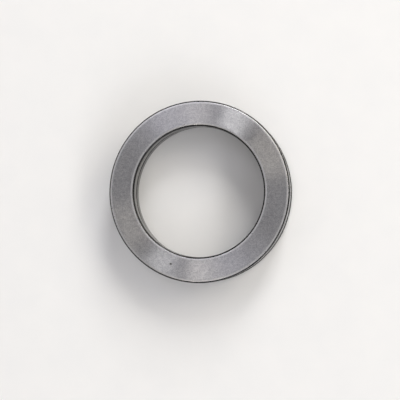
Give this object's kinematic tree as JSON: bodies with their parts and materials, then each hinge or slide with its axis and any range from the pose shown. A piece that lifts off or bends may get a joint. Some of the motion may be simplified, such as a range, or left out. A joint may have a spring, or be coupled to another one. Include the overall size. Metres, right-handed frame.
{
  "type": "thrust ball bearing",
  "caption": "Single-direction thrust ball bearing: two flat grooved steel washers with a caged row of balls between them, carrying axial load from a shaft to a housing.",
  "frame": {"origin": "centre of the housing washer's flat seat face, on the bearing axis", "axes": "+Z along the bearing axis, from the housing washer to the shaft washer; +X towards the centre of ball_01"},
  "size_m": [0.07, 0.07, 0.014],
  "materials": {
    "ground_bearing_steel": "satin",
    "polished_bearing_steel": "polished",
    "pressed_sheet_steel": "satin"
  },
  "bodies": {
    "housing_washer": {"housing_washer": "ground_bearing_steel"},
    "shaft_washer": {"shaft_washer": "ground_bearing_steel"},
    "cage": {"cage": "pressed_sheet_steel"},
    "ball_01": {"ball_01": "polished_bearing_steel"},
    "ball_02": {"ball_02": "polished_bearing_steel"},
    "ball_03": {"ball_03": "polished_bearing_steel"},
    "ball_04": {"ball_04": "polished_bearing_steel"},
    "ball_05": {"ball_05": "polished_bearing_steel"},
    "ball_06": {"ball_06": "polished_bearing_steel"},
    "ball_07": {"ball_07": "polished_bearing_steel"},
    "ball_08": {"ball_08": "polished_bearing_steel"},
    "ball_09": {"ball_09": "polished_bearing_steel"},
    "ball_10": {"ball_10": "polished_bearing_steel"},
    "ball_11": {"ball_11": "polished_bearing_steel"},
    "ball_12": {"ball_12": "polished_bearing_steel"},
    "ball_13": {"ball_13": "polished_bearing_steel"},
    "ball_14": {"ball_14": "polished_bearing_steel"},
    "ball_15": {"ball_15": "polished_bearing_steel"},
    "ball_16": {"ball_16": "polished_bearing_steel"},
    "ball_17": {"ball_17": "polished_bearing_steel"},
    "ball_18": {"ball_18": "polished_bearing_steel"},
    "ball_19": {"ball_19": "polished_bearing_steel"},
    "ball_20": {"ball_20": "polished_bearing_steel"},
    "ball_21": {"ball_21": "polished_bearing_steel"},
    "ball_22": {"ball_22": "polished_bearing_steel"},
    "ball_23": {"ball_23": "polished_bearing_steel"},
    "ball_24": {"ball_24": "polished_bearing_steel"}
  },
  "joints": [
    {"name": "shaft_washer_spin", "type": "hinge", "parent": "housing_washer", "child": "shaft_washer", "pos_m": [0, 0, 0.007], "axis": [0, 0, 1], "continuous": true},
    {"name": "cage_spin", "type": "hinge", "parent": "housing_washer", "child": "cage", "pos_m": [0, 0, 0.007], "axis": [0, 0, 1], "continuous": true},
    {"name": "ball_01_roll", "type": "hinge", "parent": "cage", "child": "ball_01", "pos_m": [0.03, 0, 0.007], "axis": [1, 0, 0], "continuous": true},
    {"name": "ball_02_roll", "type": "hinge", "parent": "cage", "child": "ball_02", "pos_m": [0.02898, 0.00776, 0.007], "axis": [0.9659, 0.2588, 0], "continuous": true},
    {"name": "ball_03_roll", "type": "hinge", "parent": "cage", "child": "ball_03", "pos_m": [0.02598, 0.015, 0.007], "axis": [0.866, 0.5, 0], "continuous": true},
    {"name": "ball_04_roll", "type": "hinge", "parent": "cage", "child": "ball_04", "pos_m": [0.02121, 0.02121, 0.007], "axis": [0.7071, 0.7071, 0], "continuous": true},
    {"name": "ball_05_roll", "type": "hinge", "parent": "cage", "child": "ball_05", "pos_m": [0.015, 0.02598, 0.007], "axis": [0.5, 0.866, 0], "continuous": true},
    {"name": "ball_06_roll", "type": "hinge", "parent": "cage", "child": "ball_06", "pos_m": [0.00776, 0.02898, 0.007], "axis": [0.2588, 0.9659, 0], "continuous": true},
    {"name": "ball_07_roll", "type": "hinge", "parent": "cage", "child": "ball_07", "pos_m": [0, 0.03, 0.007], "axis": [0, 1, 0], "continuous": true},
    {"name": "ball_08_roll", "type": "hinge", "parent": "cage", "child": "ball_08", "pos_m": [-0.00776, 0.02898, 0.007], "axis": [-0.2588, 0.9659, 0], "continuous": true},
    {"name": "ball_09_roll", "type": "hinge", "parent": "cage", "child": "ball_09", "pos_m": [-0.015, 0.02598, 0.007], "axis": [-0.5, 0.866, 0], "continuous": true},
    {"name": "ball_10_roll", "type": "hinge", "parent": "cage", "child": "ball_10", "pos_m": [-0.02121, 0.02121, 0.007], "axis": [-0.7071, 0.7071, 0], "continuous": true},
    {"name": "ball_11_roll", "type": "hinge", "parent": "cage", "child": "ball_11", "pos_m": [-0.02598, 0.015, 0.007], "axis": [-0.866, 0.5, 0], "continuous": true},
    {"name": "ball_12_roll", "type": "hinge", "parent": "cage", "child": "ball_12", "pos_m": [-0.02898, 0.00776, 0.007], "axis": [-0.9659, 0.2588, 0], "continuous": true},
    {"name": "ball_13_roll", "type": "hinge", "parent": "cage", "child": "ball_13", "pos_m": [-0.03, 0, 0.007], "axis": [-1, 0, 0], "continuous": true},
    {"name": "ball_14_roll", "type": "hinge", "parent": "cage", "child": "ball_14", "pos_m": [-0.02898, -0.00776, 0.007], "axis": [-0.9659, -0.2588, 0], "continuous": true},
    {"name": "ball_15_roll", "type": "hinge", "parent": "cage", "child": "ball_15", "pos_m": [-0.02598, -0.015, 0.007], "axis": [-0.866, -0.5, 0], "continuous": true},
    {"name": "ball_16_roll", "type": "hinge", "parent": "cage", "child": "ball_16", "pos_m": [-0.02121, -0.02121, 0.007], "axis": [-0.7071, -0.7071, 0], "continuous": true},
    {"name": "ball_17_roll", "type": "hinge", "parent": "cage", "child": "ball_17", "pos_m": [-0.015, -0.02598, 0.007], "axis": [-0.5, -0.866, 0], "continuous": true},
    {"name": "ball_18_roll", "type": "hinge", "parent": "cage", "child": "ball_18", "pos_m": [-0.00776, -0.02898, 0.007], "axis": [-0.2588, -0.9659, 0], "continuous": true},
    {"name": "ball_19_roll", "type": "hinge", "parent": "cage", "child": "ball_19", "pos_m": [0, -0.03, 0.007], "axis": [0, -1, 0], "continuous": true},
    {"name": "ball_20_roll", "type": "hinge", "parent": "cage", "child": "ball_20", "pos_m": [0.00776, -0.02898, 0.007], "axis": [0.2588, -0.9659, 0], "continuous": true},
    {"name": "ball_21_roll", "type": "hinge", "parent": "cage", "child": "ball_21", "pos_m": [0.015, -0.02598, 0.007], "axis": [0.5, -0.866, 0], "continuous": true},
    {"name": "ball_22_roll", "type": "hinge", "parent": "cage", "child": "ball_22", "pos_m": [0.02121, -0.02121, 0.007], "axis": [0.7071, -0.7071, 0], "continuous": true},
    {"name": "ball_23_roll", "type": "hinge", "parent": "cage", "child": "ball_23", "pos_m": [0.02598, -0.015, 0.007], "axis": [0.866, -0.5, 0], "continuous": true},
    {"name": "ball_24_roll", "type": "hinge", "parent": "cage", "child": "ball_24", "pos_m": [0.02898, -0.00776, 0.007], "axis": [0.9659, -0.2588, 0], "continuous": true}
  ],
  "couplings": [
    {"joint": "cage_spin", "follows": "shaft_washer_spin", "ratio": 0.5},
    {"joint": "ball_01_roll", "follows": "shaft_washer_spin", "ratio": -4.1993},
    {"joint": "ball_02_roll", "follows": "shaft_washer_spin", "ratio": -4.1993},
    {"joint": "ball_03_roll", "follows": "shaft_washer_spin", "ratio": -4.1993},
    {"joint": "ball_04_roll", "follows": "shaft_washer_spin", "ratio": -4.1993},
    {"joint": "ball_05_roll", "follows": "shaft_washer_spin", "ratio": -4.1993},
    {"joint": "ball_06_roll", "follows": "shaft_washer_spin", "ratio": -4.1993},
    {"joint": "ball_07_roll", "follows": "shaft_washer_spin", "ratio": -4.1993},
    {"joint": "ball_08_roll", "follows": "shaft_washer_spin", "ratio": -4.1993},
    {"joint": "ball_09_roll", "follows": "shaft_washer_spin", "ratio": -4.1993},
    {"joint": "ball_10_roll", "follows": "shaft_washer_spin", "ratio": -4.1993},
    {"joint": "ball_11_roll", "follows": "shaft_washer_spin", "ratio": -4.1993},
    {"joint": "ball_12_roll", "follows": "shaft_washer_spin", "ratio": -4.1993},
    {"joint": "ball_13_roll", "follows": "shaft_washer_spin", "ratio": -4.1993},
    {"joint": "ball_14_roll", "follows": "shaft_washer_spin", "ratio": -4.1993},
    {"joint": "ball_15_roll", "follows": "shaft_washer_spin", "ratio": -4.1993},
    {"joint": "ball_16_roll", "follows": "shaft_washer_spin", "ratio": -4.1993},
    {"joint": "ball_17_roll", "follows": "shaft_washer_spin", "ratio": -4.1993},
    {"joint": "ball_18_roll", "follows": "shaft_washer_spin", "ratio": -4.1993},
    {"joint": "ball_19_roll", "follows": "shaft_washer_spin", "ratio": -4.1993},
    {"joint": "ball_20_roll", "follows": "shaft_washer_spin", "ratio": -4.1993},
    {"joint": "ball_21_roll", "follows": "shaft_washer_spin", "ratio": -4.1993},
    {"joint": "ball_22_roll", "follows": "shaft_washer_spin", "ratio": -4.1993},
    {"joint": "ball_23_roll", "follows": "shaft_washer_spin", "ratio": -4.1993},
    {"joint": "ball_24_roll", "follows": "shaft_washer_spin", "ratio": -4.1993}
  ]
}
